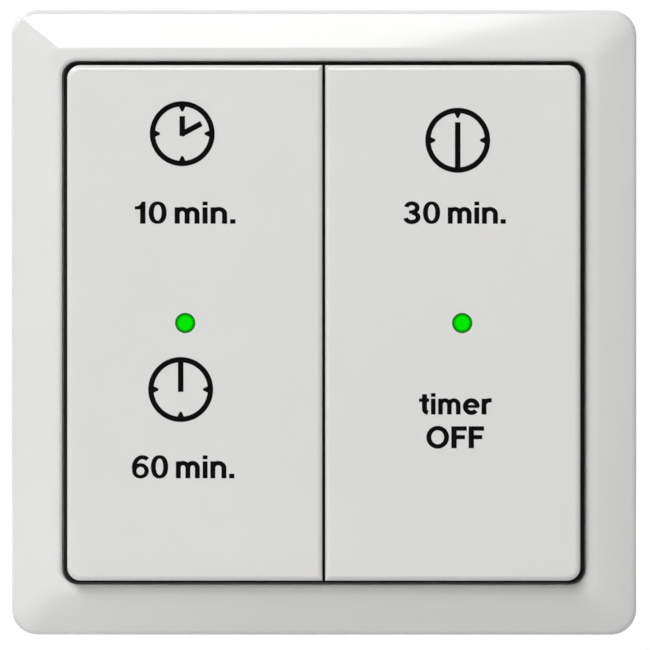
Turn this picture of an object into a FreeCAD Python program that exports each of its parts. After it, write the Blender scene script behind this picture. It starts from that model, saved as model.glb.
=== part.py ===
import FreeCAD, Part
import math
import os
import re
import Sketcher

# Wireless timer switch on a wall plate. Millimetres, X to the right, Z up, Y into the wall.
# Depths are counted from the wall to the front, so a depth of 5 lies at Y = -5.

SIZES = {
    # how far a cut runs past its solid, and an added form into it
    "cut_past": 1,
    "overlap": 0.2,
    # cover frame
    "frame_width": 80,
    "frame_corner": 3.3,
    "frame_back": 0.2,
    "frame_edge": 10.4,
    "frame_crest": 12.6,
    "frame_band": 6.5,
    "crest_width": 1.3,
    "crest_round": 2.4,
    "mitre_round": 5,
    "slope_bulge": 0.12,
    "frame_wall": 1.8,
    "frame_hollow": 10,
    "frame_edge_round": 0.9,
    "opening_corner": 2,
    "opening_round": 0.65,
    "opening_wall": 1.5,
    "ledge_low": 5.6,
    "ledge_thick": 1.4,
    "ledge_width": 2.2,
    # wall plate
    "plate_margin": 5,
    "plate_corner": 3,
    "plate_thick": 2,
    "plate_rim": 1.2,
    "plate_rim_high": 3,
    "slot_spacing": 60,
    "slot_width": 3.6,
    "slot_length": 6,
    "slot_margin": 1.5,
    "hook_spread": 14,
    "hook_width": 6,
    "hook_thick": 1.2,
    "hook_reach": 0.75,
    "hook_high": 4.2,
    "hook_barb": 0.8,
    "hook_gap": 0.1,
    "hook_play": 0.2,
    # rear housing
    "tray_gap": 0.3,
    "tray_low": 0.8,
    "tray_floor": 1,
    "tray_wall": 1.4,
    "tray_corner": 1.5,
    "tray_shelf": 0.8,
    "shelf_gap": 0.2,
    "post_width": 5.2,
    "notch_width": 6,
    "notch_height": 4,
    # circuit board
    "board_gap": 0.3,
    "board_low": 5.2,
    "board_thick": 0.8,
    # front housing
    "deck_gap": 0.9,
    "deck_corner": 1.5,
    "deck_low": 9.8,
    "deck_thick": 1,
    "skirt_low": 4.6,
    "skirt_wall": 1.3,
    "flange_gap": 0.15,
    "flange_thick": 1.2,
    "screw_inset": 3.8,
    "screw_radius": 1.1,
    "screw_gap": 0.15,
    "thread_gap": 0.03,
    "screw_head_radius": 1.9,
    "screw_head": 1.2,
    "screw_sink": 0.2,
    "screw_end": 9,
    "screw_cross": 2.4,
    "screw_cross_width": 0.5,
    "screw_cross_deep": 0.6,
    "boss_width": 4.6,
    # rockers
    "rocker_side_gap": 0.7,
    "rocker_end_gap": 0.55,
    "rocker_front": 15,
    "rocker_skirt": 10.8,
    "rocker_wall": 1.4,
    "rocker_face": 1.6,
    "rocker_corner": 1.7,
    "rocker_edge_round": 0.7,
    "split_gap": 0.35,
    "split_lip": 12.7,
    "deck_clearance": 0.5,
    "rib_inner_row": 11,
    "rib_outer_row": 28,
    "rib_thick": 1,
    "rib_tall": 0.5,
    # hinge
    "hinge_depth": 12.1,
    "hinge_pin_radius": 1,
    "hinge_clearance": 0.04,
    "hinge_inner": 4.5,
    "ear_margin": 0.8,
    "ear_thick": 1.6,
    "ear_width": 4,
    "ear_wall": 0.6,
    "hinge_play": 0.2,
    "hinge_rib": 1.4,
    "hinge_rib_width": 3.6,
    "hinge_rib_wall": 0.8,
    # keys
    "key_column": 14.5,
    "key_row": 20,
    "stem_width": 5.6,
    "stem_height": 3,
    "stem_play": 0.2,
    "tappet_flange": 0.48,
    "tappet_flange_width": 8,
    "tappet_flange_height": 5.4,
    "tappet_top": 12.9,
    "tappet_head": 0.5,
    "groove_width": 0.57,
    "groove_depth": 0.7,
    "catch_thick": 0.33,
    "catch_arm": 0.8,
    "catch_height": 2.4,
    "catch_gap": 0.15,
    "catch_grip": 0.5,
    "push_gap": 0.12,
    "pusher_width": 4,
    "pusher_height": 1.2,
    "dome_width": 8.2,
    "dome_base": 0.5,
    "dome_high": 8.1,
    "dome_gap": 0.02,
    "dome_skin": 0.5,
    "dome_hollow": 3,
    "dome_top_width": 5,
    "dome_foot_width": 7.2,
    "pill_width": 2.6,
    "pill_thick": 0.5,
    "pad_width": 1.6,
    "pad_thick": 0.08,
    "pad_split": 0.4,
    "pad_margin": 0.3,
    # lights
    "light_column": 17.7,
    "lens_radius": 1.27,
    "lens_gap": 0.03,
    "lens_core_radius": 1,
    "lens_recess": 0.1,
    "lens_shoulder": 0.4,
    "lens_flange_width": 3.4,
    "lens_flange": 0.35,
    "guide_width": 2.4,
    "guide_gap": 0.1,
    "guide_lens_gap": 0.35,
    "guide_foot": 0.6,
    "guide_foot_width": 4,
    "led_width": 1.6,
    "led_base": 0.3,
    "led_rim": 0.2,
    "led_gap": 0.1,
    "led_high": 0.7,
    # battery
    "cell_radius": 10,
    "cell_thick": 3.2,
    "cell_margin": 2.75,
    "cell_gap": 0.3,
    "cell_rim": 1.2,
    "cell_step": 0.4,
    "cell_window_gap": 0.7,
    "holder_gap": 0.25,
    "holder_wall": 1.3,
    "holder_low": 2.4,
    "holder_mouth": 9,
    "holder_bridge": 1,
    "contact_width": 4,
    "contact_length": 12,
    "contact_foot": 2.5,
    "contact_lift": 0.4,
    "contact_side_gap": 0.5,
    "contact_gap": 0.05,
    "contact_thick": 0.3,
    # radio and board parts
    "shield_width": 14,
    "shield_height": 12,
    "shield_tall": 2,
    "shield_sheet": 0.2,
    "shield_corner": 0.5,
    "shield_column": -13,
    "parts_row": 12,
    "chip_width": 7,
    "chip_tall": 0.9,
    "chip_leg": 0.5,
    "chip_leg_thick": 0.25,
    "chip_column": 4,
    "crystal_width": 5,
    "crystal_height": 3.2,
    "crystal_tall": 1,
    "crystal_base": 0.4,
    "crystal_rim": 0.3,
    "crystal_column": 13.5,
    "small_width": 1.6,
    "small_height": 0.8,
    "small_tall": 0.5,
    "small_step": 2.5,
    "small_drop": 6,
    "small_side": 4.6,
    "antenna_row": 20.8,
    "antenna_length": 24,
    "antenna_wire_radius": 0.3,
    "antenna_lift": 1.4,
}

# Sizes that follow from the ones above, each piece from the one it fits.
FOLLOWS = {
    "frame_half": "frame_width / 2",
    "opening_width": "frame_width - 2 * frame_band",
    "crest_half": "opening_width / 2 + crest_width",
    "slope_chord": "sqrt((frame_crest - frame_edge) ^ 2 + (frame_half - crest_half) ^ 2)",
    "slope_radius": "slope_chord ^ 2 / (8 * slope_bulge) + slope_bulge / 2",
    "ledge_high": "ledge_low + ledge_thick",
    "plate_width": "frame_width - 2 * plate_margin",
    "window_width": "slot_spacing - slot_length - 2 * slot_margin",
    "hook_inner": "window_width / 2 + hook_gap",
    "barb_low": "hook_high - hook_barb",
    "barb_end": "tray_width / 2 - hook_reach",
    "tray_width": "window_width - 2 * tray_gap",
    "tray_inside": "tray_width - 2 * tray_wall",
    "tray_top": "tray_low + tray_floor",
    "flange_width": "opening_width - 2 * flange_gap",
    "flange_corner": "opening_corner - flange_gap",
    "deck_width": "opening_width - 2 * ledge_width - 2 * deck_gap",
    "deck_high": "deck_low + deck_thick",
    "skirt_inside": "deck_width - 2 * skirt_wall",
    "shelf_width": "skirt_inside - 2 * shelf_gap",
    "board_width": "skirt_inside - 2 * board_gap",
    "board_high": "board_low + board_thick",
    "screw_spot": "tray_width / 2 - screw_inset",
    "screw_low": "tray_low + screw_sink",
    "screw_neck": "screw_low + screw_head",
    "rocker_height": "opening_width - 2 * rocker_end_gap",
    "rocker_width": "opening_width / 2 - rocker_side_gap - split_gap / 2",
    "rocker_middle": "(split_gap + rocker_width) / 2",
    "rocker_inside": "rocker_front - rocker_face",
    "rocker_root": "rocker_inside + overlap",
    "ear_hole_radius": "hinge_pin_radius + hinge_clearance",
    "ear_high": "hinge_depth + ear_wall",
    "hinge_outer": "deck_width / 2 - ear_margin - ear_thick / 2",
    "hinge_rib_low": "hinge_depth - hinge_rib_wall",
    "tappet_low": "dome_high + dome_gap",
    "groove_high": "tappet_top - tappet_head",
    "groove_low": "groove_high - groove_width",
    "catch_low": "(groove_low + groove_high - catch_thick) / 2",
    "catch_high": "catch_low + catch_thick",
    "pusher_low": "tappet_top + push_gap",
    "light_hole_radius": "lens_radius + lens_gap",
    "lens_front": "rocker_front - lens_recess",
    "lens_step": "lens_front - lens_shoulder",
    "pad_length": "2 * pad_width + pad_split",
    "pad_room": "pad_length + 2 * pad_margin",
    "pill_high": "dome_high - dome_skin - dome_gap",
    "led_top": "board_high + led_high",
    "guide_high": "rocker_inside - lens_flange - guide_lens_gap",
    "cell_high": "board_low - cell_gap",
    "cell_low": "cell_high - cell_thick",
    "cell_window_radius": "cell_radius + cell_window_gap",
    "holder_radius": "cell_radius + holder_gap",
    "cell_row": "holder_radius + holder_wall + cell_margin - tray_inside / 2",
}

LEFT = -1
RIGHT = 1
TOP = 1
BOTTOM = -1

# How many equal screws join the housings.
SCREWS = 2

# Where the four keys are: name, side and row.
KEYS = (
    ("10_min", LEFT, TOP),
    ("60_min", LEFT, BOTTOM),
    ("30_min", RIGHT, TOP),
    ("off", RIGHT, BOTTOM),
)

SIDES = (("left", LEFT), ("right", RIGHT))

doc = FreeCAD.newDocument("timer_switch")
sheet = doc.addObject("Spreadsheet::Sheet", "Sizes")
NODES = []


# Sheet

def fill_sheet():
    for row, (name, value) in enumerate(SIZES.items(), 1):
        sheet.set(f"A{row}", str(value))
        sheet.setAlias(f"A{row}", name)
    doc.recompute()


# Puts the sheet's cells in place of the names in a formula.
def with_sheet(text):
    def cell(match):
        word = match.group(0)
        if word in FOLLOWS:
            return f"({with_sheet(FOLLOWS[word])})"
        return f"Sizes.{word}" if word in SIZES else word
    return re.sub(r"[a-z][a-z_]*", cell, str(text))


def value(text):
    return float(sheet.evalExpression(with_sheet(text)))


def bind(feature, prop, text):
    feature.setExpression(prop, with_sheet(text))


# Bodies and their features

def new_body(label):
    body = doc.addObject("PartDesign::Body", f"body_{label}")
    body.Label = label
    body.AllowCompound = True
    NODES.append(body)
    return body


def plane_of(body, role):
    for item in body.Origin.OriginFeatures:
        if item.Role == role:
            return item
    raise ValueError(role)


def attach(feature, body, role, x, y, z):
    feature.AttachmentSupport = [(plane_of(body, role), "")]
    feature.MapMode = "FlatFace"
    bind(feature, "AttachmentOffset.Base.x", x)
    bind(feature, "AttachmentOffset.Base.y", y)
    bind(feature, "AttachmentOffset.Base.z", z)


# A box centred on x and z, from one depth to another.
def box(body, name, x, z, width, height, low, high, cut=False):
    kind = "SubtractiveBox" if cut else "AdditiveBox"
    feature = body.newObject(f"PartDesign::{kind}", name)
    feature.Refine = False
    bind(feature, "Length", width)
    bind(feature, "Width", height)
    bind(feature, "Height", f"({high}) - ({low})")
    attach(feature, body, "XZ_Plane", f"({x}) - ({width}) / 2", f"({z}) - ({height}) / 2", low)
    return feature


# A round rod or hole that runs from one depth to another.
def rod(body, name, x, z, radius, low, high, cut=False):
    kind = "SubtractiveCylinder" if cut else "AdditiveCylinder"
    feature = body.newObject(f"PartDesign::{kind}", name)
    feature.Refine = False
    bind(feature, "Radius", radius)
    bind(feature, "Height", f"({high}) - ({low})")
    attach(feature, body, "XZ_Plane", x, z, low)
    return feature


# A square block that narrows towards the front, from one depth to another.
def tapered_block(body, name, x, z, foot, top, low, high):
    feature = body.newObject("PartDesign::AdditiveWedge", name)
    feature.Refine = False
    bind(feature, "Ymin", f"-({high})")
    bind(feature, "Ymax", f"-({low})")
    for axis, width in (("X", top), ("Z", top), ("X2", foot), ("Z2", foot)):
        bind(feature, f"{axis}min", f"-({width}) / 2")
        bind(feature, f"{axis}max", f"({width}) / 2")
    attach(feature, body, "XY_Plane", x, "0", z)
    return feature


# A round pin or hole that runs along X.
def cross_rod(body, name, depth, radius, start, length, z="0", cut=False):
    kind = "SubtractiveCylinder" if cut else "AdditiveCylinder"
    feature = body.newObject(f"PartDesign::{kind}", name)
    feature.Refine = False
    bind(feature, "Radius", radius)
    bind(feature, "Height", length)
    attach(feature, body, "YZ_Plane", f"-({depth})", z, start)
    return feature


# Slots at the four sides, each running away from the middle.
def slots_around(body, x, low, high):
    straight = "slot_length - slot_width"
    around(body, box(body, "slot", x, "0", straight, "slot_width", low, high, cut=True), 4)
    for end in (-1, 1):
        end_x = f"{x} + {end} * ({straight}) / 2"
        around(body, rod(body, "slot_end", end_x, "0", "slot_width / 2", low, high, cut=True), 4)


# One closed square with rounded corners around the middle of a sketch.
def rounded_square(sketch, width, corner):
    half = value(width) / 2
    radius = value(corner)
    reach = half - radius
    centres = ((reach, reach), (-reach, reach), (-reach, -reach), (reach, -reach))
    first = sketch.GeometryCount
    for number, (x, y) in enumerate(centres):
        circle = Part.Circle(FreeCAD.Vector(x, y, 0), FreeCAD.Vector(0, 0, 1), radius)
        start = number * math.pi / 2
        sketch.addGeometry(Part.ArcOfCircle(circle, start, start + math.pi / 2))
    ends = ((half, reach), (reach, half), (-reach, half), (-half, reach))
    ends += ((-half, -reach), (-reach, -half), (reach, -half), (half, -reach))
    for number in range(4):
        start = ends[2 * number + 1]
        end = ends[(2 * number + 2) % 8]
        line = Part.LineSegment(FreeCAD.Vector(*start, 0), FreeCAD.Vector(*end, 0))
        sketch.addGeometry(line)
    top, left, bottom, right = (first + 4 + number for number in range(4))
    for number in range(4):
        arc = first + number
        line = first + 4 + number
        after = first + (number + 1) % 4
        sketch.addConstraint(Sketcher.Constraint("Tangent", arc, 2, line, 1))
        sketch.addConstraint(Sketcher.Constraint("Tangent", line, 2, after, 1))
    for arc in range(first + 1, first + 4):
        sketch.addConstraint(Sketcher.Constraint("Equal", first, arc))
    sketch.addConstraint(Sketcher.Constraint("Horizontal", bottom))
    sketch.addConstraint(Sketcher.Constraint("Vertical", left))
    sketch.addConstraint(Sketcher.Constraint("Symmetric", top, 1, top, 2, -2))
    sketch.addConstraint(Sketcher.Constraint("Symmetric", right, 1, right, 2, -1))
    sized = (
        (Sketcher.Constraint("Radius", first, radius), corner),
        (Sketcher.Constraint("DistanceX", left, 1, right, 2, 2 * half), width),
        (Sketcher.Constraint("DistanceY", bottom, 1, top, 1, 2 * half), width),
    )
    for constraint, text in sized:
        number = sketch.addConstraint(constraint)
        bind(sketch, f"Constraints[{number}]", text)


# A plate or pocket from one depth to another with one or two nested rounded squares as outline.
def rounded_plate(body, name, outlines, low, high, cut=False):
    sketch = body.newObject("Sketcher::SketchObject", f"{name}_outline")
    attach(sketch, body, "XZ_Plane", "0", "0", high if cut else low)
    for width, corner in outlines:
        rounded_square(sketch, width, corner)
    kind = "Pocket" if cut else "Pad"
    feature = body.newObject(f"PartDesign::{kind}", name)
    feature.Profile = sketch
    bind(feature, "Length", f"({high}) - ({low})")
    doc.recompute()
    return feature


# Rounds the edges of the last feature that pass a test.
def round_edges(body, name, radius, test):
    doc.recompute()
    base = body.Tip
    chosen = [f"Edge{number}" for number, edge in enumerate(base.Shape.Edges, 1) if test(edge)]
    if not chosen:
        raise ValueError(f"no edge found for {name}")
    feature = body.newObject("PartDesign::Fillet", name)
    feature.Base = (base, chosen)
    bind(feature, "Radius", radius)
    doc.recompute()
    return feature


# Repeats the newest feature evenly around the middle of the object.
def around(body, feature, count):
    pattern = body.newObject("PartDesign::PolarPattern", f"{feature.Label}_pattern")
    pattern.Originals = [feature]
    axis = [item for item in body.Origin.OriginFeatures if item.Role == "Y_Axis"][0]
    pattern.Axis = (axis, [""])
    pattern.Angle = 360
    pattern.Occurrences = count
    pattern.Refine = False
    body.Tip = pattern
    doc.recompute()


# Repeats the newest feature in the other half, above or below the middle.
def mirror_up(body, feature):
    pattern = body.newObject("PartDesign::Mirrored", f"{feature.Label}_mirror")
    pattern.Originals = [feature]
    pattern.MirrorPlane = (plane_of(body, "XY_Plane"), [""])
    pattern.Refine = False
    body.Tip = pattern
    doc.recompute()


# Merges the faces that lie in one plane, once for the whole body.
def close_body(body):
    body.Tip.Refine = True
    doc.recompute()


def same(first, second, tolerance=0.001):
    return abs(first - second) < tolerance


def at_depth(edge, depth):
    low = -value(depth)
    return same(edge.BoundBox.YMin, low) and same(edge.BoundBox.YMax, low)


# Cover frame

def frame_slope(body, turn):
    sketch = body.newObject("Sketcher::SketchObject", "slope_outline")
    sketch.AttachmentSupport = [(plane_of(body, "YZ_Plane"), "")]
    sketch.MapMode = "FlatFace"
    flip = FreeCAD.Rotation(FreeCAD.Vector(0, 1, 0), 180)
    around = FreeCAD.Rotation(FreeCAD.Vector(1, 0, 0), 90 * turn)
    sketch.AttachmentOffset = FreeCAD.Placement(FreeCAD.Vector(0, 0, 0), around.multiply(flip))
    edge = ("frame_edge", "frame_half")
    crest = ("frame_crest", "crest_half")
    above = ("frame_crest + cut_past", "crest_half")
    corner = ("frame_crest + cut_past", "frame_half + cut_past")
    beside = ("frame_edge", "frame_half + cut_past")
    texts = (edge, crest, above, corner, beside)
    points = [FreeCAD.Vector(value(x), value(y), 0) for x, y in texts]
    radius = value("slope_radius")
    chord = points[1] - points[0]
    middle = (points[0] + points[1]) * 0.5
    outward = FreeCAD.Vector(-chord.y, chord.x, 0).normalize()
    centre = middle - outward * math.sqrt(radius ** 2 - (chord.Length / 2) ** 2)
    circle = Part.Circle(centre, FreeCAD.Vector(0, 0, 1), radius)
    angles = [math.atan2(point.y - centre.y, point.x - centre.x) for point in points[:2]]
    sketch.addGeometry(Part.ArcOfCircle(circle, angles[1], angles[0]))
    for number in range(1, 5):
        sketch.addGeometry(Part.LineSegment(points[number], points[(number + 1) % 5]))
    sketch.addConstraint(Sketcher.Constraint("Coincident", 0, 1, 1, 1))
    sketch.addConstraint(Sketcher.Constraint("Coincident", 4, 2, 0, 2))
    for line in (1, 2, 3):
        sketch.addConstraint(Sketcher.Constraint("Coincident", line, 2, line + 1, 1))
    for line, (x, y) in enumerate(texts[1:], 1):
        sized = (("DistanceX", x), ("DistanceY", y))
        for kind, text in sized:
            constraint = Sketcher.Constraint(kind, -1, 1, line, 1, value(text))
            number = sketch.addConstraint(constraint)
            bind(sketch, f"Constraints[{number}]", text)
    for kind, text in (("DistanceX", edge[0]), ("DistanceY", edge[1])):
        number = sketch.addConstraint(Sketcher.Constraint(kind, -1, 1, 4, 2, value(text)))
        bind(sketch, f"Constraints[{number}]", text)
    number = sketch.addConstraint(Sketcher.Constraint("Radius", 0, radius))
    bind(sketch, f"Constraints[{number}]", "slope_radius")
    pocket = body.newObject("PartDesign::Pocket", "slope")
    pocket.Profile = sketch
    pocket.Midplane = True
    bind(pocket, "Length", "frame_width + 2 * cut_past")
    doc.recompute()


# Tells whether an edge is one of the four mitres between the slopes.
def is_mitre(edge):
    ends = [vertex.Point for vertex in edge.Vertexes]
    on_diagonal = all(same(abs(end.x), abs(end.z)) for end in ends)
    return len(ends) == 2 and on_diagonal and not same(edge.BoundBox.YLength, 0)


# Tells whether an edge is where a slope meets the flat crest.
def is_crest_edge(edge):
    middle = edge.BoundBox.Center
    beyond = max(abs(middle.x), abs(middle.z)) > value("crest_half - crest_width / 2")
    return at_depth(edge, "frame_crest") and beyond


# Tells whether an edge lies on the side of a square with rounded corners.
def on_side(edge, half, corner):
    points = [vertex.Point for vertex in edge.Vertexes]
    reach = half - corner
    for point in points:
        x = max(abs(point.x) - reach, 0)
        z = max(abs(point.z) - reach, 0)
        if not same(math.hypot(x, z), corner, 0.01):
            return False
    return len(points) == 2


def is_outer_edge(edge):
    low = -value("frame_edge") + 0.01
    return on_side(edge, value("frame_half"), value("frame_corner")) and edge.BoundBox.YMax < low


def is_opening_edge(edge):
    low = -value("ledge_high") - 0.01
    return on_side(edge, value("opening_width / 2"), value("opening_corner")) and edge.BoundBox.YMax < low


def make_cover_frame():
    body = new_body("cover_frame")
    outline = (("frame_width", "frame_corner"),)
    rounded_plate(body, "block", outline, "frame_back", "frame_crest")
    for turn in range(4):
        frame_slope(body, turn)
    opening = (("opening_width", "opening_corner"),)
    rounded_plate(body, "opening", opening, "ledge_high", "frame_crest + cut_past", cut=True)
    round_edges(body, "mitre_rounding", "mitre_round", is_mitre)
    round_edges(body, "crest_rounding", "crest_round", is_crest_edge)
    round_edges(body, "outer_rounding", "frame_edge_round", is_outer_edge)
    round_edges(body, "opening_rounding", "opening_round", is_opening_edge)
    back = ("frame_width - 2 * frame_wall", "frame_corner - frame_wall")
    rounded_plate(body, "hollow", (back,), "frame_back - cut_past", "ledge_low", cut=True)
    wall = ("opening_width + 2 * opening_wall", "opening_corner + opening_wall")
    outer = (f"({wall[0]} + {back[0]}) / 2", wall[1])
    rounded_plate(body, "hollow_ring", (outer, wall), "ledge_low - overlap", "frame_hollow", cut=True)
    ledge = (("opening_width - 2 * ledge_width", "opening_corner"),)
    rounded_plate(body, "ledge_opening", ledge, "ledge_low - cut_past", "ledge_high + overlap", cut=True)


# Wall plate

def make_mounting_plate():
    body = new_body("mounting_plate")
    below = "-cut_past"
    above = "plate_rim_high + cut_past"
    inside = "plate_width - 2 * plate_rim"
    rounded_plate(body, "plate", (("plate_width", "plate_corner"),), "0", "plate_rim_high")
    box(body, "inside", "0", "0", inside, inside, "plate_thick", above, cut=True)
    box(body, "window", "0", "0", "window_width", "window_width", below, above, cut=True)
    slots_around(body, "slot_spacing / 2", below, above)
    stem = "hook_inner + hook_thick / 2"
    tip = "(barb_end + hook_inner + hook_thick) / 2"
    reach = "hook_inner + hook_thick - barb_end"
    for end in (-1, 1):
        along = f"{end} * hook_spread"
        root = "plate_thick - overlap"
        around(body, box(body, "hook", stem, along, "hook_thick", "hook_width", root, "hook_high"), 4)
        barb = box(body, "barb", tip, along, reach, "hook_width", "barb_low", "hook_high")
        around(body, barb, 4)
    close_body(body)


# Rear housing

def make_rear_housing():
    body = new_body("rear_housing")
    below = "tray_low - cut_past"
    above = "board_low + cut_past"
    rounded_plate(body, "tray", (("tray_width", "tray_corner"),), "tray_low", "board_low")
    box(body, "shelf", "0", "0", "shelf_width", "shelf_width", "board_low - tray_shelf", "board_low")
    box(body, "hollow", "0", "0", "tray_inside", "tray_inside", "tray_top", above, cut=True)
    floor = "tray_top + overlap"
    rod(body, "cell_window", "0", "cell_row", "cell_window_radius", below, floor, cut=True)
    notch = "cell_row + cell_window_radius"
    box(body, "finger_notch", "0", notch, "notch_width", "notch_height", below, floor, cut=True)
    spot = "screw_spot"
    wide = "post_width"
    hole = "screw_radius + screw_gap"
    head = "screw_head_radius + screw_gap"
    around(body, box(body, "post", spot, spot, wide, wide, "tray_low + overlap", "board_low"), SCREWS)
    around(body, rod(body, "post_hole", spot, spot, hole, below, above, cut=True), SCREWS)
    around(body, rod(body, "head_recess", spot, spot, head, below, "screw_neck", cut=True), SCREWS)
    across = "tray_width / 2 + (cut_past - hook_reach - hook_play) / 2"
    wide = "cut_past + hook_reach + hook_play"
    tall = "hook_width + 2 * hook_play"
    low = "barb_low - hook_play"
    high = "hook_high + hook_play"
    for end in (-1, 1):
        along = f"{end} * hook_spread"
        around(body, box(body, "catch", across, along, wide, tall, low, high, cut=True), 4)
    close_body(body)


# Front housing

def make_front_housing():
    body = new_body("front_housing")
    deck_middle = "deck_low + deck_thick / 2"
    rounded_plate(body, "deck", (("deck_width", "deck_corner"),), "skirt_low", "deck_high")
    flange = (("flange_width", "flange_corner"),)
    rounded_plate(body, "flange", flange, "ledge_high", "ledge_high + flange_thick")
    open_side = "skirt_low - cut_past"
    box(body, "inside", "0", "0", "skirt_inside", "skirt_inside", open_side, "deck_low", cut=True)
    spot = "screw_spot"
    hole = "screw_radius + thread_gap"
    end = "screw_end + screw_gap"
    wide = "boss_width"
    around(body, box(body, "boss", spot, spot, wide, wide, "board_high", deck_middle), SCREWS)
    around(body, rod(body, "boss_hole", spot, spot, hole, "board_low", end, cut=True), SCREWS)
    below = "deck_low - cut_past"
    above = "deck_high + cut_past"
    width = "stem_width + 2 * stem_play"
    height = "stem_height + 2 * stem_play"
    for row in (TOP, BOTTOM):
        z = f"{row} * key_row"
        around(body, box(body, "key_hole", "key_column", z, width, height, below, above, cut=True), 2)
    for column in ("hinge_inner", "hinge_outer"):
        around(body, box(body, "ear", column, "0", "ear_thick", "ear_width", deck_middle, "ear_high"), 2)
        start = f"{column} - ear_thick / 2 - overlap"
        length = "ear_thick + 2 * overlap"
        hole = "ear_hole_radius"
        around(body, cross_rod(body, "ear_hole", "hinge_depth", hole, start, length, cut=True), 2)
    hole = "guide_width + 2 * guide_gap"
    around(body, box(body, "light_hole", "light_column", "0", hole, hole, below, above, cut=True), 2)
    close_body(body)


# Screws, all equal

def make_housing_screws():
    body = new_body("housing_screws")
    spot = "screw_spot"
    long = "screw_cross"
    wide = "screw_cross_width"
    below = "screw_low - cut_past"
    deep = "screw_low + screw_cross_deep"
    around(body, rod(body, "head", spot, spot, "screw_head_radius", "screw_low", "screw_neck"), SCREWS)
    around(body, rod(body, "shank", spot, spot, "screw_radius", "screw_neck", "screw_end"), SCREWS)
    around(body, box(body, "cross_long", spot, spot, long, wide, below, deep, cut=True), SCREWS)
    around(body, box(body, "cross_wide", spot, spot, wide, long, below, deep, cut=True), SCREWS)
    close_body(body)


# Circuit board and what is on it

def make_circuit_board():
    body = new_body("circuit_board")
    box(body, "board", "0", "0", "board_width", "board_width", "board_low", "board_high")
    spot = "screw_spot"
    hole = "screw_radius + screw_gap"
    below = "board_low - cut_past"
    above = "board_high + cut_past"
    around(body, rod(body, "hole", spot, spot, hole, below, above, cut=True), SCREWS)
    close_body(body)


def make_contact_pads():
    body = new_body("contact_pads")
    high = "board_high + pad_thick"
    shift = "(pad_width + pad_split) / 2"
    for name, side, row in KEYS:
        z = f"{row} * key_row"
        for end in (-1, 1):
            x = f"{side} * key_column + {end} * {shift}"
            box(body, "pad", x, z, "pad_width", "pad_length", "board_high", high)
    close_body(body)


def make_radio_module_shield():
    body = new_body("radio_module_shield")
    low = "board_low - shield_tall"
    box(body, "can", "shield_column", "parts_row", "shield_width", "shield_height", low, "board_low")
    width = "shield_width - 2 * shield_sheet"
    height = "shield_height - 2 * shield_sheet"
    inside = f"{low} + shield_sheet"
    box(body, "inside", "shield_column", "parts_row", width, height, inside, "board_low", cut=True)

    def is_can_corner(edge):
        middle = edge.BoundBox.Center
        outer_x = same(abs(middle.x - value("shield_column")), value("shield_width / 2"))
        outer_z = same(abs(middle.z - value("parts_row")), value("shield_height / 2"))
        return outer_x and outer_z

    round_edges(body, "corners", "shield_corner", is_can_corner)


def make_microcontroller():
    body = new_body("microcontroller")
    low = "board_low - chip_tall"
    legs = "chip_width + 2 * chip_leg"
    box(body, "package", "chip_column", "parts_row", "chip_width", "chip_width", low, "board_low")
    box(body, "legs", "chip_column", "parts_row", legs, "chip_width - 2 * chip_leg",
        "board_low - chip_leg_thick", "board_low")
    close_body(body)


def make_quartz_crystal():
    body = new_body("quartz_crystal")
    base_low = "board_low - crystal_base"
    width = "crystal_width - 2 * crystal_rim"
    height = "crystal_height - 2 * crystal_rim"
    box(body, "base", "crystal_column", "parts_row", "crystal_width", "crystal_height", base_low, "board_low")
    box(body, "lid", "crystal_column", "parts_row", width, height, "board_low - crystal_tall", base_low)
    close_body(body)


def make_board_components():
    body = new_body("board_components")
    low = "board_low - small_tall"
    for number in range(-2, 3):
        x = f"chip_column + {number} * small_step"
        box(body, "small_low", x, "parts_row - small_drop", "small_width", "small_height", low, "board_low")
    for number in range(-1, 2):
        z = f"parts_row + {number} * small_step"
        for end in (-1, 1):
            x = f"crystal_column + {end} * small_side"
            box(body, "small_side", x, z, "small_height", "small_width", low, "board_low")
    close_body(body)


# A bent wire that stands on the board on two legs.
def make_antenna_wire():
    body = new_body("antenna_wire")
    depth = "board_low - antenna_lift"
    start = "-antenna_length / 2"
    cross_rod(body, "span", depth, "antenna_wire_radius", start, "antenna_length", "antenna_row")
    width = "2 * antenna_wire_radius"
    for end in (-1, 1):
        foot = f"{end} * (antenna_length / 2 - antenna_wire_radius)"
        box(body, "leg", foot, "antenna_row", width, width, depth, "board_low")
    close_body(body)


def make_lights():
    for name, side in SIDES:
        x = f"{side} * light_column"
        chip = new_body(f"led_chip_{name}")
        width = "led_width - 2 * led_rim"
        box(chip, "base", x, "0", "led_width", "led_width", "board_high", "board_high + led_base")
        box(chip, "window", x, "0", width, width, "board_high + led_base", "led_top")
        guide = new_body(f"light_guide_{name}")
        foot = "deck_low - guide_foot"
        box(guide, "rod", x, "0", "guide_width", "guide_width", "led_top + led_gap", "guide_high")
        box(guide, "foot", x, "0", "guide_foot_width", "guide_foot_width", foot, "deck_low")
    doc.recompute()


# Battery

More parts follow.
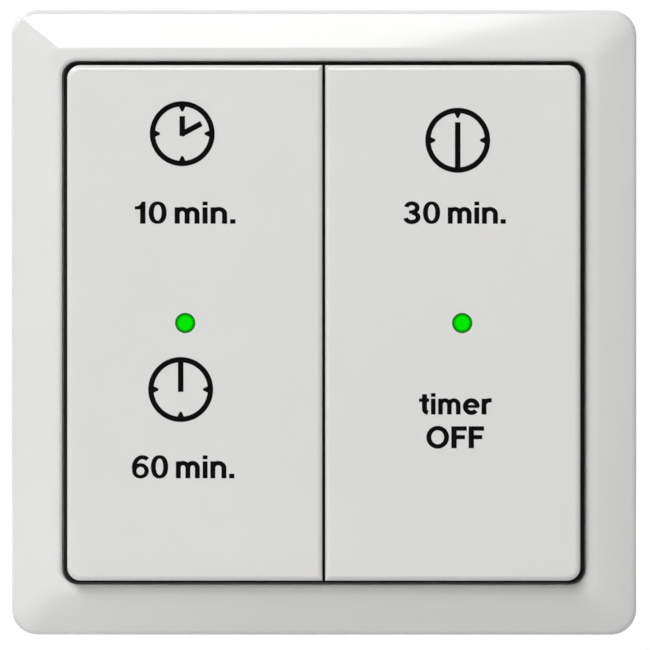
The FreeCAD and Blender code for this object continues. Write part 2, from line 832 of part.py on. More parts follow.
def make_battery():
    cell = new_body("battery_cell")
    step = "cell_high - cell_step"
    rod(cell, "can", "0", "cell_row", "cell_radius", "cell_low", step)
    rod(cell, "cap", "0", "cell_row", "cell_radius - cell_rim", step, "cell_high")

    holder = new_body("battery_holder")
    wide = "2 * holder_radius + 2 * holder_wall"
    box(holder, "block", "0", "cell_row", wide, wide, "holder_low", "board_low")
    below = "holder_low - cut_past"
    above = "board_low + cut_past"
    rod(holder, "hollow", "0", "cell_row", "holder_radius", below, above, cut=True)
    side = "holder_radius + holder_wall / 2"
    deep = "2 * holder_wall + 2 * cut_past"
    mouth_high = "board_low - holder_bridge"
    box(holder, "mouth", "0", f"cell_row - ({side})", "holder_mouth", deep, below, mouth_high, cut=True)
    tall = "contact_width + 2 * contact_side_gap"
    box(holder, "contact_slot", side, "cell_row", deep, tall, below, above, cut=True)

    negative = new_body("battery_contact_negative")
    box(negative, "plate", "0", "cell_row", "contact_length", "contact_width", "cell_high", "board_low")
    slot = ("contact_length / 2", "contact_width / 3")
    box(negative, "slot", "0", "cell_row", *slot, "cell_high", "board_low", cut=True)

    positive = new_body("battery_contact_positive")
    start = "cell_radius + contact_gap"
    blade = f"{start} + contact_thick / 2"
    foot = f"{start} + contact_foot / 2"
    blade_low = "holder_low + contact_lift"
    foot_low = "board_low - contact_thick"
    box(positive, "blade", blade, "cell_row", "contact_thick", "contact_width", blade_low, "board_low")
    box(positive, "foot", foot, "cell_row", "contact_foot", "contact_width", foot_low, "board_low")
    doc.recompute()


# Keys

def make_key(name, side, row):
    x = f"{side} * key_column"
    z = f"{row} * key_row"

    dome = new_body(f"key_dome_{name}")
    base_high = "board_high + dome_base"
    box(dome, "base", x, z, "dome_width", "dome_width", "board_high", base_high)
    tapered_block(dome, "dome", x, z, "dome_foot_width", "dome_top_width", base_high, "dome_high")
    inside_high = "dome_high - dome_skin"
    box(dome, "inside", x, z, "dome_hollow", "dome_hollow", base_high, inside_high, cut=True)
    box(dome, "pad_room", x, z, "pad_room", "pad_room", "board_high", base_high, cut=True)

    tappet = new_body(f"tappet_{name}")
    flange_high = "tappet_low + tappet_flange"
    box(tappet, "flange", x, z, "tappet_flange_width", "tappet_flange_height", "tappet_low", flange_high)
    box(tappet, "stem", x, z, "stem_width", "stem_height", flange_high, "tappet_top")
    width = "groove_depth + cut_past"
    height = "stem_height + cut_past"
    for end in (-1, 1):
        edge = f"{x} + {end} * (stem_width - groove_depth + cut_past) / 2"
        box(tappet, "groove", edge, z, width, height, "groove_low", "groove_high", cut=True)

    pill = new_body(f"contact_pill_{name}")
    box(pill, "pill", x, z, "pill_width", "pill_width", "pill_high - pill_thick", "pill_high")
    doc.recompute()


# Rockers

def rocker_hinge(body, side):
    for column, inward in (("hinge_inner", 1), ("hinge_outer", -1)):
        rib = f"{side} * ({column} + {inward} * (ear_thick / 2 + hinge_play + hinge_rib / 2))"
        box(body, "hinge_rib", rib, "0", "hinge_rib", "hinge_rib_width", "hinge_rib_low", "rocker_root")
        length = "ear_thick + 2 * hinge_play"
        start = f"{side} * {column} - ({length}) / 2 + {side * inward} * hinge_play / 2"
        cross_rod(body, "hinge_pin", "hinge_depth", "hinge_pin_radius", start, length)


def rocker_catches(body, side):
    x = f"{side} * key_column"
    pusher = box(body, "pusher", x, "key_row", "pusher_width", "pusher_height", "pusher_low", "rocker_root")
    mirror_up(body, pusher)
    tall = "catch_height"
    start = "stem_width / 2 + catch_gap"
    wide = "catch_grip + catch_gap + catch_arm"
    for end in (-1, 1):
        arm = f"{x} + {end} * ({start} + catch_arm / 2)"
        tip = f"{x} + {end} * ({start} + catch_arm - ({wide}) / 2)"
        mirror_up(body, box(body, "catch_arm", arm, "key_row", "catch_arm", tall, "catch_low", "rocker_root"))
        mirror_up(body, box(body, "catch_tip", tip, "key_row", wide, tall, "catch_low", "catch_high"))


def make_rocker(name, side):
    body = new_body(f"rocker_{name}")
    middle = f"{side} * rocker_middle"
    box(body, "shell", middle, "0", "rocker_width", "rocker_height", "rocker_skirt", "rocker_front")

    def is_outer_corner(edge):
        upright = same(edge.BoundBox.XLength, 0) and same(edge.BoundBox.ZLength, 0)
        return upright and abs(edge.BoundBox.Center.x) > value("rocker_middle")

    round_edges(body, "corners", "rocker_corner", is_outer_corner)
    round_edges(body, "front_rounding", "rocker_edge_round", lambda edge: at_depth(edge, "rocker_front"))
    below = "rocker_skirt - cut_past"
    width = "rocker_width - 2 * rocker_wall"
    height = "rocker_height - 2 * rocker_wall"
    box(body, "hollow", middle, "0", width, height, below, "rocker_inside", cut=True)
    lip = f"{side} * (split_gap + rocker_wall) / 2"
    span = "deck_width + 2 * deck_clearance"
    box(body, "split_cut", lip, "0", "rocker_wall + 2 * overlap", span, below, "split_lip", cut=True)
    rocker_hinge(body, side)
    light = f"{side} * light_column"
    past = "rocker_front + cut_past"
    rod(body, "light_hole", light, "0", "light_hole_radius", "rocker_skirt", past, cut=True)
    rocker_catches(body, side)
    long = f"{width} + 2 * overlap"
    low = "rocker_inside - rib_tall"
    for row in ("rib_inner_row", "rib_outer_row"):
        mirror_up(body, box(body, "rib", middle, row, long, "rib_thick", low, "rocker_root"))
    close_body(body)


def make_lens(name, side):
    body = new_body(f"led_lens_{name}")
    x = f"{side} * light_column"
    low = "rocker_inside - lens_flange"
    box(body, "flange", x, "0", "lens_flange_width", "lens_flange_width", low, "rocker_inside")
    rod(body, "barrel", x, "0", "lens_radius", "rocker_inside", "lens_step")
    rod(body, "core", x, "0", "lens_core_radius", "lens_step", "lens_front")
    close_body(body)


# Build, check and write

def check_and_write():
    doc.recompute()
    for item in doc.Objects:
        if "Invalid" in item.State or "Error" in item.State:
            raise RuntimeError(f"{item.Name} is {item.State}")
    os.makedirs("parts", exist_ok=True)
    for node in NODES:
        shape = node.Shape
        if shape.isNull() or not shape.isValid():
            raise RuntimeError(f"{node.Label} has no valid shape")
        shape.exportStep(f"parts/{node.Label}.step")


fill_sheet()
make_mounting_plate()
make_rear_housing()
make_front_housing()
make_housing_screws()
make_circuit_board()
make_contact_pads()
make_radio_module_shield()
make_microcontroller()
make_quartz_crystal()
make_board_components()
make_antenna_wire()
make_lights()
make_battery()
for key in KEYS:
    make_key(*key)
make_cover_frame()
for pair in SIDES:
    make_rocker(*pair)
    make_lens(*pair)
check_and_write()
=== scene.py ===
import math

import bmesh
import bpy
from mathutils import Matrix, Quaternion, Vector

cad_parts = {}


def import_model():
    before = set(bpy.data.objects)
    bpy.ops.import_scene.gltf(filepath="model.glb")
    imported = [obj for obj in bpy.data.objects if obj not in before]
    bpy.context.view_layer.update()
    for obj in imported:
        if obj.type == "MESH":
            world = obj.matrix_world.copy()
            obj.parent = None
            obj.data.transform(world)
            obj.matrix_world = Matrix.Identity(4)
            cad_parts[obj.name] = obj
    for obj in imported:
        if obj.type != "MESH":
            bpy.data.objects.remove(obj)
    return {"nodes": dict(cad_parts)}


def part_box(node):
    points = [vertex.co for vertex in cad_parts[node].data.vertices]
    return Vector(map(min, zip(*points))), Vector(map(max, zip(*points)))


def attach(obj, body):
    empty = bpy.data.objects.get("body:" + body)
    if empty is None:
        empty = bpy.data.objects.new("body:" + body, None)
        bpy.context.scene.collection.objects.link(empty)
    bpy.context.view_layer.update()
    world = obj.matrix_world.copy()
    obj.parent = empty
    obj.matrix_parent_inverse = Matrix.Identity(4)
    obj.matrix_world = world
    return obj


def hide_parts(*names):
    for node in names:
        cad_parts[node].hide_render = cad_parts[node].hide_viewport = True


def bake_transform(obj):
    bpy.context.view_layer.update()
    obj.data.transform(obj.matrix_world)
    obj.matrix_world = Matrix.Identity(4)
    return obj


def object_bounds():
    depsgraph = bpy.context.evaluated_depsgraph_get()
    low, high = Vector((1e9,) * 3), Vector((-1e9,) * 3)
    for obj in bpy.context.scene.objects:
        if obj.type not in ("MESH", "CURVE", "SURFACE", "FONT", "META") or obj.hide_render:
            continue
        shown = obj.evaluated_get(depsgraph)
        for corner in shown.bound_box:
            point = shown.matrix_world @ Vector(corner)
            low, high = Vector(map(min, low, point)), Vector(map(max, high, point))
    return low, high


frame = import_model()
cad_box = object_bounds()
nodes = frame["nodes"]

MM = 0.001
ROCKER_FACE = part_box("rocker_left")[0].y      # outer face of the rockers, towards the viewer
LENS_LOW, LENS_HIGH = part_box("led_lens_right")
LIGHT_X = (LENS_LOW.x + LENS_HIGH.x) / 2


# Building blocks of the materials

# Where most values of a noise pattern lie.
NOISE_LOW = 0.3
NOISE_HIGH = 0.7


def link(tree, start, end):
    tree.links.new(start, end)


def new_material(name):
    material = bpy.data.materials.new(name)
    material.use_nodes = True
    tree = material.node_tree
    shader = tree.nodes["Principled BSDF"]
    return material, tree, shader


def object_coordinates(tree):
    return tree.nodes.new("ShaderNodeTexCoord").outputs["Object"]


def noise(tree, scale, detail=4.0, roughness=0.5, stretch=None):
    node = tree.nodes.new("ShaderNodeTexNoise")
    node.inputs["Scale"].default_value = scale
    node.inputs["Detail"].default_value = detail
    node.inputs["Roughness"].default_value = roughness
    source = object_coordinates(tree)
    if stretch:
        mapping = tree.nodes.new("ShaderNodeMapping")
        mapping.inputs["Scale"].default_value = stretch
        link(tree, source, mapping.inputs["Vector"])
        source = mapping.outputs["Vector"]
    link(tree, source, node.inputs["Vector"])
    return node.outputs["Fac"]


def ramp(tree, value, low, high, start=NOISE_LOW, end=NOISE_HIGH):
    node = tree.nodes.new("ShaderNodeMapRange")
    node.inputs["From Min"].default_value = start
    node.inputs["From Max"].default_value = end
    node.inputs["To Min"].default_value = low
    node.inputs["To Max"].default_value = high
    link(tree, value, node.inputs["Value"])
    return node.outputs["Result"]


def colours(tree, value, stops):
    node = tree.nodes.new("ShaderNodeValToRGB")
    while len(node.color_ramp.elements) < len(stops):
        node.color_ramp.elements.new(0.5)
    for element, (place, colour) in zip(node.color_ramp.elements, stops):
        element.position = place
        element.color = (*colour, 1)
    link(tree, value, node.inputs["Fac"])
    return node.outputs["Color"]


def vector_math(tree, operation, vector, other=None):
    node = tree.nodes.new("ShaderNodeVectorMath")
    node.operation = operation
    link(tree, vector, node.inputs[0])
    if other is not None:
        node.inputs[1].default_value = other
    return node.outputs


def bump(tree, shader, value, strength, distance=0.05 * MM):
    node = tree.nodes.new("ShaderNodeBump")
    node.inputs["Strength"].default_value = strength
    node.inputs["Distance"].default_value = distance
    link(tree, value, node.inputs["Height"])
    link(tree, node.outputs["Normal"], shader.inputs["Normal"])


def shade(colour, factor):
    return tuple(min(1, c * factor) for c in colour)


def set_colour(tree, shader, value, dark, light, start=NOISE_LOW, end=NOISE_HIGH):
    link(tree, colours(tree, value, ((start, dark), (end, light))), shader.inputs["Base Color"])


def set_roughness(tree, shader, value, low, high):
    link(tree, ramp(tree, value, low, high), shader.inputs["Roughness"])


# 1 for what is seen directly, in a reflection or through glass, and 0 for the light that falls on things.
def seen(tree):
    rays = tree.nodes.new("ShaderNodeLightPath")
    result = rays.outputs["Is Camera Ray"]
    for kind in ("Is Glossy Ray", "Is Transmission Ray"):
        either = tree.nodes.new("ShaderNodeMath")
        either.operation = "MAXIMUM"
        link(tree, result, either.inputs[0])
        link(tree, rays.outputs[kind], either.inputs[1])
        result = either.outputs[0]
    return result


# Materials

PLASTIC_IOR = 1.49


# Moulded plastic: faint flow marks in the colour, fine grain in the gloss and the surface.
def plastic(name, colour, rough, grain, depth, spread, coat=0.0, shine=0.5):
    material, tree, shader = new_material(name)
    flow = noise(tree, scale=60, detail=3)
    dark, light = shade(colour, 1 - spread), shade(colour, 1 + spread)
    set_colour(tree, shader, flow, dark, light, start=0.35, end=0.65)
    fine = noise(tree, scale=grain, detail=2)
    set_roughness(tree, shader, fine, rough * 0.9, rough * 1.1)
    bump(tree, shader, fine, depth)
    shader.inputs["IOR"].default_value = PLASTIC_IOR
    shader.inputs["Coat Weight"].default_value = coat
    shader.inputs["Specular IOR Level"].default_value = shine
    return material


# Bare metal with fine lines; stretch sets the way they run.
def metal(name, colour, rough, stretch=(1, 1, 1)):
    material, tree, shader = new_material(name)
    lines = noise(tree, scale=1500, detail=3, roughness=0.6, stretch=stretch)
    cloud = noise(tree, scale=120, detail=3)
    set_colour(tree, shader, cloud, shade(colour, 0.93), shade(colour, 1.05))
    set_roughness(tree, shader, lines, rough * 0.75, rough * 1.25)
    bump(tree, shader, lines, 0.15, distance=0.02 * MM)
    shader.inputs["Metallic"].default_value = 1.0
    return material


def rubber(name, colour):
    material, tree, shader = new_material(name)
    cloud = noise(tree, scale=200)
    set_colour(tree, shader, cloud, shade(colour, 0.92), shade(colour, 1.06))
    grain = noise(tree, scale=4000, detail=2)
    set_roughness(tree, shader, grain, 0.6, 0.75)
    bump(tree, shader, grain, 0.2)
    return material


# Solder mask over copper tracks that run in a square grid.
def board_surface(name):
    material, tree, shader = new_material(name)
    turn = tree.nodes.new("ShaderNodeMapping")
    turn.inputs["Rotation"].default_value = (math.pi / 2, 0, 0)
    link(tree, object_coordinates(tree), turn.inputs["Vector"])
    tracks = tree.nodes.new("ShaderNodeTexBrick")
    tracks.inputs["Scale"].default_value = 420
    tracks.inputs["Mortar Size"].default_value = 0.06
    tracks.inputs["Color1"].default_value = (0.010, 0.075, 0.030, 1)
    tracks.inputs["Color2"].default_value = (0.012, 0.090, 0.036, 1)
    tracks.inputs["Mortar"].default_value = (0.030, 0.170, 0.070, 1)
    link(tree, turn.outputs["Vector"], tracks.inputs["Vector"])
    link(tree, tracks.outputs["Color"], shader.inputs["Base Color"])
    bump(tree, shader, tracks.outputs["Fac"], 0.4, distance=0.03 * MM)
    set_roughness(tree, shader, noise(tree, scale=900), 0.25, 0.4)
    return material


def clear_plastic(name, colour):
    material, tree, shader = new_material(name)
    haze = noise(tree, scale=700, detail=3)
    set_colour(tree, shader, haze, shade(colour, 0.96), colour)
    set_roughness(tree, shader, haze, 0.08, 0.2)
    shader.inputs["Transmission Weight"].default_value = 0.9
    shader.inputs["IOR"].default_value = PLASTIC_IOR
    return material


WINDOW_RADIUS = 1.3 * MM
WINDOW_GREEN = (0.0, 0.78, 0.0)
# dark green at the window's rim: painted shade of the hole's edge
WINDOW_RIM_SHADE = (0.012, 0.06, 0.014)


# Lit window: bright in the middle, and darker towards its rim, a painted shade where the edge of its hole
# is in shadow.
def light_window(name, centre_x):
    material, tree, shader = new_material(name)
    centred = vector_math(tree, "SUBTRACT", object_coordinates(tree), (centre_x, 0, 0))["Vector"]
    flat = vector_math(tree, "MULTIPLY", centred, (1, 0, 1))["Vector"]
    distance = vector_math(tree, "LENGTH", flat)["Value"]
    spread = ramp(tree, distance, 0, 1, start=0, end=WINDOW_RADIUS)
    half_lit = shade(WINDOW_GREEN, 0.35)
    stops = ((0.0, WINDOW_GREEN), (0.62, WINDOW_GREEN), (0.84, half_lit), (1.0, WINDOW_RIM_SHADE))
    link(tree, colours(tree, spread, stops), shader.inputs["Emission Color"])
    shader.inputs["Emission Strength"].default_value = 1.0
    grain = noise(tree, scale=1500, detail=2)
    set_colour(tree, shader, grain, (0.001, 0.02, 0.001), (0.002, 0.03, 0.002))
    set_roughness(tree, shader, grain, 0.25, 0.4)
    shader.inputs["Specular IOR Level"].default_value = 0.0
    return material


def printed_ink(name):
    material, tree, shader = new_material(name)
    grain = noise(tree, scale=5000, detail=2)
    set_colour(tree, shader, grain, (0.002, 0.002, 0.002), (0.004, 0.004, 0.004))
    set_roughness(tree, shader, grain, 0.45, 0.6)
    shader.inputs["Specular IOR Level"].default_value = 0.03
    return material


INK = printed_ink("black_ink")
GREY_DOME = rubber("grey_dome", (0.36, 0.37, 0.38))

# The finish of every node, by the start of its name. The numbers of a plastic are its roughness, then the
# fineness and the depth of its grain, and then how far its colour varies.
FINISHES = {
    "cover_frame": plastic("white_frame", (0.83, 0.83, 0.825), 0.05, 1800, 0.02, 0.006, shine=0.385),
    "rocker": plastic("white_rocker", (0.80, 0.795, 0.785), 0.15, 3500, 0.08, 0.006, coat=0.5),
    # The front housing shows through the gaps round the rockers; its dark colour is painted shade for
    # those gaps.
    "front_housing": plastic("housing_dark_as_gap_shade", (0.10, 0.096, 0.090), 0.6, 3000, 0.35, 0.1, shine=0.08),
    "rear_housing": plastic("grey_housing", (0.33, 0.335, 0.345), 0.5, 3000, 0.35, 0.03),
    "mounting_plate": plastic("grey_plate", (0.20, 0.205, 0.215), 0.55, 2600, 0.4, 0.03),
    "tappet": plastic("white_tappet", (0.72, 0.72, 0.70), 0.35, 2500, 0.1, 0.02),
    "battery_holder": plastic("black_holder", (0.018, 0.018, 0.02), 0.42, 3000, 0.3, 0.1),
    "microcontroller": plastic("black_chip", (0.014, 0.014, 0.016), 0.5, 5000, 0.4, 0.1),
    "board_components": plastic("small_parts", (0.20, 0.13, 0.08), 0.35, 3000, 0.2, 0.15),
    "housing_screws": metal("zinc_screw", (0.62, 0.63, 0.66), 0.32),
    "radio_module_shield": metal("tin_shield", (0.66, 0.66, 0.65), 0.3, stretch=(1, 1, 14)),
    "quartz_crystal": metal("bright_crystal", (0.72, 0.72, 0.71), 0.22),
    "battery_cell": metal("nickel_cell", (0.64, 0.63, 0.61), 0.26, stretch=(14, 1, 1)),
    "battery_contact": metal("nickel_spring", (0.68, 0.65, 0.58), 0.25, stretch=(1, 1, 10)),
    "contact_pads": metal("gold_pads", (0.80, 0.55, 0.20), 0.22),
    "antenna_wire": metal("copper_wire", (0.75, 0.42, 0.22), 0.28, stretch=(10, 1, 1)),
    "key_dome": GREY_DOME,
    "contact_pill": rubber("black_pill", (0.02, 0.02, 0.02)),
    "circuit_board": board_surface("green_board"),
    "light_guide": clear_plastic("clear_guide", (0.90, 0.96, 0.92)),
    "led_chip": clear_plastic("led_resin", (0.80, 0.95, 0.78)),
    "led_lens_left": light_window("light_window_left", -LIGHT_X),
    "led_lens_right": light_window("light_window_right", LIGHT_X),
}

for name, node in nodes.items():
    finish = next(material for start, material in FINISHES.items() if name.startswith(start))
    node.data.materials.clear()
    node.data.materials.append(finish)


# Meshes


# A new object whose mesh is filled by one of the add functions below.
def mesh_object(name, add, *arguments):
    mesh = bmesh.new()
    add(mesh, *arguments)
    bmesh.ops.recalc_face_normals(mesh, faces=mesh.faces)
    data = bpy.data.meshes.new(name)
    mesh.to_mesh(data)
    mesh.free()
    piece = bpy.data.objects.new(name, data)
    bpy.context.scene.collection.objects.link(piece)
    return piece


# Joins overlapping closed shapes into one clean solid. Each shape is an add function with its outlines.
def merged(name, shapes):
    base = mesh_object(name, *shapes[0])
    for shape in shapes[1:]:
        tool = mesh_object("tool", *shape)
        join = base.modifiers.new("join", "BOOLEAN")
        join.operation = "UNION"
        join.solver = "EXACT"
        join.object = tool
        evaluated = base.evaluated_get(bpy.context.evaluated_depsgraph_get())
        base.data = bpy.data.meshes.new_from_object(evaluated)
        base.modifiers.clear()
        bpy.data.objects.remove(tool)
    return base


def wall(mesh, first, second):
    count = len(first)
    for i in range(count):
        j = (i + 1) % count
        mesh.faces.new((first[i], first[j], second[j], second[i]))


# Printed marks: outlines in millimetres, made into thin solids that stand in the rocker's face

INK_HEIGHT = 0.02 * MM
INK_SINK = 0.01 * MM


# The outline twice: sunk into the face, and standing out from it.
def ink_loops(mesh, outline):
    back = [mesh.verts.new((x * MM, ROCKER_FACE + INK_SINK, z * MM)) for x, z in outline]
    front = [mesh.verts.new((x * MM, ROCKER_FACE - INK_HEIGHT, z * MM)) for x, z in outline]
    return back, front


def add_block(mesh, outline):
    back, front = ink_loops(mesh, outline)
    mesh.faces.new(front)
    mesh.faces.new(list(reversed(back)))
    wall(mesh, back, front)


# Both outlines have as many points.
def add_ring(mesh, outer, inner):
    outer_back, outer_front = ink_loops(mesh, outer)
    inner_back, inner_front = ink_loops(mesh, inner)
    wall(mesh, outer_back, outer_front)
    wall(mesh, outer_front, inner_front)
    wall(mesh, inner_front, inner_back)
    wall(mesh, inner_back, outer_back)


# An oval, or with a higher power an outline that is squarer than one.
def oval(cx, cz, rx, rz, steps=48, power=2.0):
    points = []
    for i in range(steps):
        turn = 2 * math.pi * i / steps
        c, s = math.cos(turn), math.sin(turn)
        x = math.copysign(abs(c) ** (2 / power), c) * rx
        z = math.copysign(abs(s) ** (2 / power), s) * rz
        points.append((cx + x, cz + z))
    return points


def arc(cx, cz, rx, rz, start, end, steps):
    turns = [math.radians(start + (end - start) * i / steps) for i in range(steps + 1)]
    return [(cx + rx * math.cos(turn), cz + rz * math.sin(turn)) for turn in turns]


# Outline of a stroke of even width along a centre line.
def stroke(line, width):
    left, right = [], []
    for i, (x, z) in enumerate(line):
        before = line[max(i - 1, 0)]
        after = line[min(i + 1, len(line) - 1)]
        dx, dz = after[0] - before[0], after[1] - before[1]
        scale = width / 2 / math.hypot(dx, dz)
        left.append((x - dz * scale, z + dx * scale))
        right.append((x + dz * scale, z - dx * scale))
    return left + right[::-1]


# Letterforms: shapes in units of the capital height, and how far the next letter stands

STEM = 0.19              # width of an upright in the small letters
SMALL_HEIGHT = 0.74      # top of their uprights
SHOULDER = 0.45          # where their arches begin
ARCH_TOP = 0.76


def bar(x0, z0, x1, z1):
    return (add_block, [(x0, z0), (x1, z0), (x1, z1), (x0, z1)])


def curve(line, width):
    return (add_block, stroke(line, width))


# The right upright and the arch from it to the upright at its left.
def arch(left, right):
    reach = (right - left - STEM) / 2
    line = [(right - STEM / 2, 0.0), (right - STEM / 2, SHOULDER)]
    line += arc((left + right) / 2, SHOULDER, reach, ARCH_TOP - STEM / 2 - SHOULDER, 0, 180, 14)[1:]
    return curve(line, STEM)


def shape_one():
    outline = [(0.20, 0.0), (0.40, 0.0), (0.40, 1.0), (0.26, 1.0), (0.21, 0.87), (0.12, 0.80), (0.0, 0.78),
               (0.0, 0.645), (0.20, 0.645)]
    return [(add_block, outline)], 0.52


def shape_zero():
    outer = oval(0.335, 0.5, 0.335, 0.51, 40, 2.25)
    inner = oval(0.335, 0.5, 0.145, 0.36, 40, 2.1)
    return [(add_ring, outer, inner)], 0.75


def shape_three():
    top = curve(arc(0.31, 0.725, 0.215, 0.20, 172, -90, 18), 0.18)
    low = curve(arc(0.31, 0.285, 0.245, 0.21, 90, -172, 20), 0.19)
    return [top, low, bar(0.20, 0.46, 0.34, 0.60)], 0.75


def shape_six():
    bowl = (add_ring, oval(0.345, 0.325, 0.325, 0.335, 36), oval(0.345, 0.32, 0.155, 0.18, 36))
    back = curve(arc(0.42, 0.47, 0.32, 0.45, 188, 52, 18), 0.175)
    return [bowl, back], 0.75


def shape_capital_o():
    return [(add_ring, oval(0.50, 0.5, 0.50, 0.52), oval(0.50, 0.5, 0.28, 0.32))], 1.10


def shape_capital_f():
    return [bar(0, 0, 0.235, 1), bar(0, 0.80, 0.68, 1), bar(0, 0.41, 0.60, 0.60)], 0.76


def shape_i():
    return [bar(0, 0, STEM, SMALL_HEIGHT), bar(0, 0.83, STEM, 1.0)], 0.30


def shape_n():
    return [bar(0, 0, STEM, SMALL_HEIGHT), arch(0.0, 0.62)], 0.73


def shape_m():
    return [bar(0, 0, STEM, SMALL_HEIGHT), arch(0.0, 0.56), arch(0.37, 0.93)], 1.04


def shape_dot():
    return [bar(0, 0, 0.20, 0.20)], 0.30


def shape_t():
    line = [(0.23, 0.95), (0.23, 0.25)] + arc(0.40, 0.25, 0.17, 0.165, 180, 262, 8)[1:]
    return [curve(line, 0.21), bar(0.0, 0.59, 0.42, 0.75)], 0.50


def shape_e():
    bowl = curve(arc(0.34, 0.37, 0.25, 0.29, 0, 320, 28), 0.205)
    return [bowl, bar(0.12, 0.31, 0.665, 0.445)], 0.77


def shape_r():
    line = [(0.095, 0.0), (0.095, 0.40)] + arc(0.34, 0.42, 0.245, 0.245, 180, 95, 8)[1:]
    return [bar(0, 0, 0.20, SMALL_HEIGHT), curve(line + [(0.42, 0.665)], 0.20)], 0.47


LETTERS = {
    "1": shape_one(), "0": shape_zero(), "3": shape_three(), "6": shape_six(),
    "O": shape_capital_o(), "F": shape_capital_f(), "i": shape_i(), "n": shape_n(), "m": shape_m(),
    ".": shape_dot(), "t": shape_t(), "e": shape_e(), "r": shape_r(), " ": ([], 0.22),
}


def finish_print(piece, body):
    piece.data.materials.clear()
    piece.data.materials.append(INK)
    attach(piece, body)


# A line of lettering that fills the space from left to right and from low to high.
def word(name, text, left, right, low, high, body):
    height = high - low
    advance = sum(LETTERS[letter][1] for letter in text[:-1])
    last_shapes = LETTERS[text[-1]][0]
    last_width = max(x for add, *outlines in last_shapes for outline in outlines for x, z in outline)
    across = (right - left) / (advance + last_width)
    shapes = []
    start = 0
    for letter in text:
        letter_shapes, step = LETTERS[letter]
        for add, *outlines in letter_shapes:
            placed = [[(left + (start + x) * across, low + z * height) for x, z in outline]
                      for outline in outlines]
            shapes.append((add, *placed))
        start += step
    finish_print(merged(name, shapes), body)


CLOCK_RADIUS = 4.15
CLOCK_LINE = 0.68
CLOCK_STEPS = 72
HAND_WIDTH = 0.70
MARK_FOOT = 0.55         # half the width of an hour mark at the ring
MARK_TIP = 0.12          # and at its tip
MARK_LENGTH = 0.62
MARK_START = 0.6         # where across the ring's line the foot of a mark lies, from the outer edge


# An hour mark that tapers inwards from the ring.
def hour_mark(cx, cz, hour):
    turn = math.radians(90 - 30 * hour)
    along = (math.cos(turn), math.sin(turn))
    foot = CLOCK_RADIUS - CLOCK_LINE * MARK_START
    tip = CLOCK_RADIUS - CLOCK_LINE - MARK_LENGTH
    corners = ((foot, MARK_FOOT), (tip, MARK_TIP), (tip, -MARK_TIP), (foot, -MARK_FOOT))
    outline = [(cx + along[0] * out - along[1] * side, cz + along[1] * out + along[0] * side)
               for out, side in corners]
    return (add_block, outline)


# A clock face: ring, marks at the hours named, and hands given as end points from its centre.
def clock(name, cx, cz, hours, hands, body):
    inside = CLOCK_RADIUS - CLOCK_LINE
    shapes = [(add_ring, oval(cx, cz, CLOCK_RADIUS, CLOCK_RADIUS, CLOCK_STEPS),
               oval(cx, cz, inside, inside, CLOCK_STEPS))]
    for hour in hours:
        shapes.append(hour_mark(cx, cz, hour))
    for start, end in hands:
        line = [(cx + start[0], cz + start[1]), (cx + end[0], cz + end[1])]
        shapes.append(curve(line, HAND_WIDTH))
    finish_print(merged(name, shapes), body)


TOP_LINE = {"low": 12.7, "high": 15.52}

clock("print_clock_10", cx=-18.08, cz=24.2, hours=(12, 3, 6, 9),
      hands=(((0, -0.3), (0, 2.25)), ((-0.16, -0.1), (2.45, 1.3))), body="rocker_left")
clock("print_clock_30", cx=17.13, cz=23.36, hours=(12, 3, 9), hands=(((0, -3.7), (0, 2.3)),),
      body="rocker_right")
clock("print_clock_60", cx=-18.28, cz=-8.5, hours=(3, 6, 9), hands=(((0, -0.3), (0, 3.7)),),
      body="rocker_left")
word("print_10_min", "10 min.", left=-24.15, right=-11.28, **TOP_LINE, body="rocker_left")
word("print_30_min", "30 min.", left=10.25, right=23.27, **TOP_LINE, body="rocker_right")
word("print_60_min", "60 min.", left=-24.56, right=-11.42, low=-19.85, high=-16.92, body="rocker_left")
word("print_timer", "timer", left=12.18, right=21.48, low=-11.69, high=-8.96, body="rocker_right")
word("print_off", "OFF", left=13.12, right=20.5, low=-16.0, high=-13.2, body="rocker_right")


# Rubber domes under the keys, in millimetres

DOME_SLIM, DOME_WIDE = 0.5, 1.6      # heights over the board at which the wall's outline changes
DOME_SQUARENESS = 7
DOME_STEPS = 48

# Height over the board and half width, from the hollow's roof down, under the foot and up outside.
DOME_SHAPE = ((DOME_WIDE, 1.5), (DOME_SLIM, 2.1), (0.0, 2.1), (0.0, 4.1), (DOME_SLIM, 4.1),
              (DOME_SLIM, 3.6), (DOME_WIDE, 2.85), (2.0, 2.5), (2.1, 2.35))


def add_dome(mesh, cx, cz, board):
    loops = []
    for height, half in DOME_SHAPE:
        outline = oval(cx, cz, half, half, DOME_STEPS, DOME_SQUARENESS)
        loops.append([mesh.verts.new((x * MM, board - height * MM, z * MM)) for x, z in outline])
    for below, above in zip(loops, loops[1:]):
        wall(mesh, below, above)
    mesh.faces.new(list(reversed(loops[0])))
    mesh.faces.new(loops[-1])


# A hollow dome whose foot stands on the board, in place of the CAD dome, which is hidden.
def key_dome(key):
    low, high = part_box("key_dome_" + key)
    cx = (low.x + high.x) / 2 / MM
    cz = (low.z + high.z) / 2 / MM
    board = high.y
    piece = mesh_object("rubber_dome_" + key, add_dome, cx, cz, board)
    piece.data.materials.append(GREY_DOME)
    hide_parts("key_dome_" + key)
    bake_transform(piece)


for key in ("10_min", "60_min", "30_min", "off"):
    key_dome(key)


# Floor: white to the eye far off, and a little darker close by, so that the object's shadow shows

FLOOR_SIZE = 3.0
FLOOR_DROP = 12 * MM                 # how far under the object it lies
GLOW_NEAR, GLOW_FAR = 0.42, 0.74     # how strongly the floor shines
GLOW_START, GLOW_END = 0.3, 1.1      # the distances from its middle between which that rises


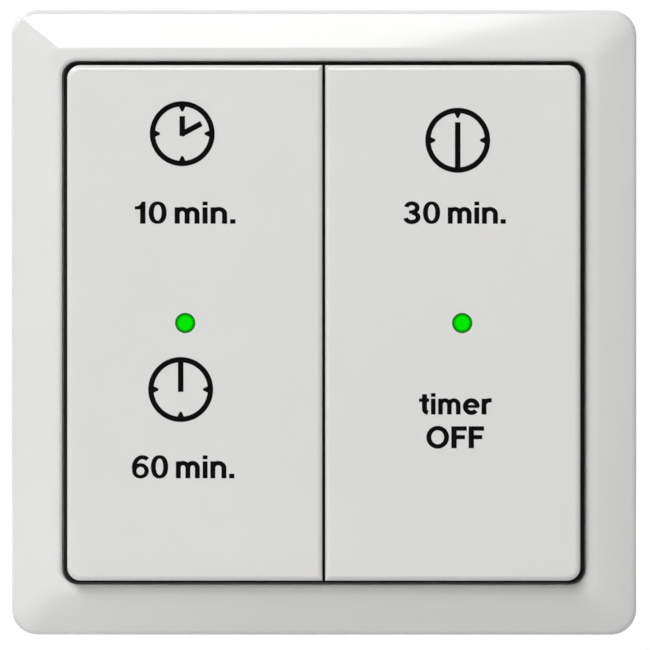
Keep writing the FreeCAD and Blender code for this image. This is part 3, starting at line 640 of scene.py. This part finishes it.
def floor():
    bpy.ops.mesh.primitive_plane_add(size=FLOOR_SIZE, location=(0, 0, cad_box[0].z - FLOOR_DROP))
    plane = bpy.context.object
    plane.name = "floor"
    material, tree, shader = new_material("pale_floor")
    set_colour(tree, shader, noise(tree, scale=3, detail=2), (0.70, 0.70, 0.70), (0.72, 0.72, 0.72))
    shader.inputs["Roughness"].default_value = 0.9
    shader.inputs["Specular IOR Level"].default_value = 0.1
    distance = vector_math(tree, "LENGTH", object_coordinates(tree))["Value"]
    glow = ramp(tree, distance, GLOW_NEAR, GLOW_FAR, GLOW_START, GLOW_END)
    amount = tree.nodes.new("ShaderNodeMath")
    amount.operation = "MULTIPLY"
    link(tree, seen(tree), amount.inputs[0])
    link(tree, glow, amount.inputs[1])
    shader.inputs["Emission Color"].default_value = (1, 1, 1, 1)
    link(tree, amount.outputs[0], shader.inputs["Emission Strength"])
    plane.data.materials.append(material)


# World: white to the eye, and a soft light on the object that comes mostly from the front and from behind

BRIGHT_SIDE = (-0.30, -1.0, 0.05)
ROOM_STOPS = ((0.0, (0.65, 0.65, 0.65)), (0.5, (0.02, 0.02, 0.02)), (1.0, (0.47, 0.467, 0.46)))


def world():
    back = bpy.data.worlds.new("studio")
    bpy.context.scene.world = back
    back.use_nodes = True
    tree = back.node_tree
    shader = tree.nodes["Background"]
    direction = tree.nodes.new("ShaderNodeTexCoord").outputs["Generated"]
    towards = vector_math(tree, "DOT_PRODUCT", direction, Vector(BRIGHT_SIDE).normalized())["Value"]
    room = colours(tree, ramp(tree, towards, 0, 1, start=-1, end=1), ROOM_STOPS)
    mix = tree.nodes.new("ShaderNodeMix")
    mix.data_type = "RGBA"
    link(tree, room, mix.inputs["A"])
    mix.inputs["B"].default_value = (1, 1, 1, 1)
    link(tree, seen(tree), mix.inputs["Factor"])
    link(tree, mix.outputs["Result"], shader.inputs["Color"])
    shader.inputs["Strength"].default_value = 1.0


# A lamp that faces the object, turned about its own axis by roll degrees.
def area_light(name, place, size, power, roll=0):
    lamp = bpy.data.lights.new(name, "AREA")
    lamp.shape = "RECTANGLE"
    lamp.size, lamp.size_y = size
    lamp.energy = power
    holder = bpy.data.objects.new(name, lamp)
    holder.location = place
    holder.rotation_mode = "QUATERNION"
    facing = (-Vector(place)).to_track_quat("-Z", "Y")
    holder.rotation_quaternion = facing @ Quaternion((0, 0, 1), math.radians(roll))
    bpy.context.scene.collection.objects.link(holder)


VIEW_AZIMUTH = 0.5
VIEW_ELEVATION = 0.7
VIEW_WIDTH = 83.27 * MM      # how much the picture spans at its centre
VIEW_DISTANCE = 2.4
VIEW_CENTRE = (0.12 * MM, -9.5 * MM, -0.32 * MM)
SENSOR_WIDTH = 36


def camera():
    lens = bpy.data.cameras.new("camera")
    lens.sensor_width = SENSOR_WIDTH
    lens.lens = SENSOR_WIDTH * VIEW_DISTANCE / VIEW_WIDTH
    lens.clip_start, lens.clip_end = 0.05, 50
    eye = bpy.data.objects.new("camera", lens)
    azimuth = math.radians(VIEW_AZIMUTH)
    elevation = math.radians(VIEW_ELEVATION)
    level = math.cos(elevation)
    back = Vector((math.sin(azimuth) * level, -math.cos(azimuth) * level, math.sin(elevation)))
    eye.location = Vector(VIEW_CENTRE) + back * VIEW_DISTANCE
    eye.rotation_mode = "QUATERNION"
    eye.rotation_quaternion = (-back).to_track_quat("-Z", "Y")
    bpy.context.scene.collection.objects.link(eye)
    bpy.context.scene.camera = eye


floor()
world()
area_light("softbox", place=(-0.44, -1.04, 1.09), size=(0.95, 0.64), power=14.9, roll=11)
area_light("rim_lamp", place=(-0.85, 0.55, 0.95), size=(0.5, 0.5), power=7.0)
camera()
bpy.context.scene.view_settings.view_transform = "Standard"
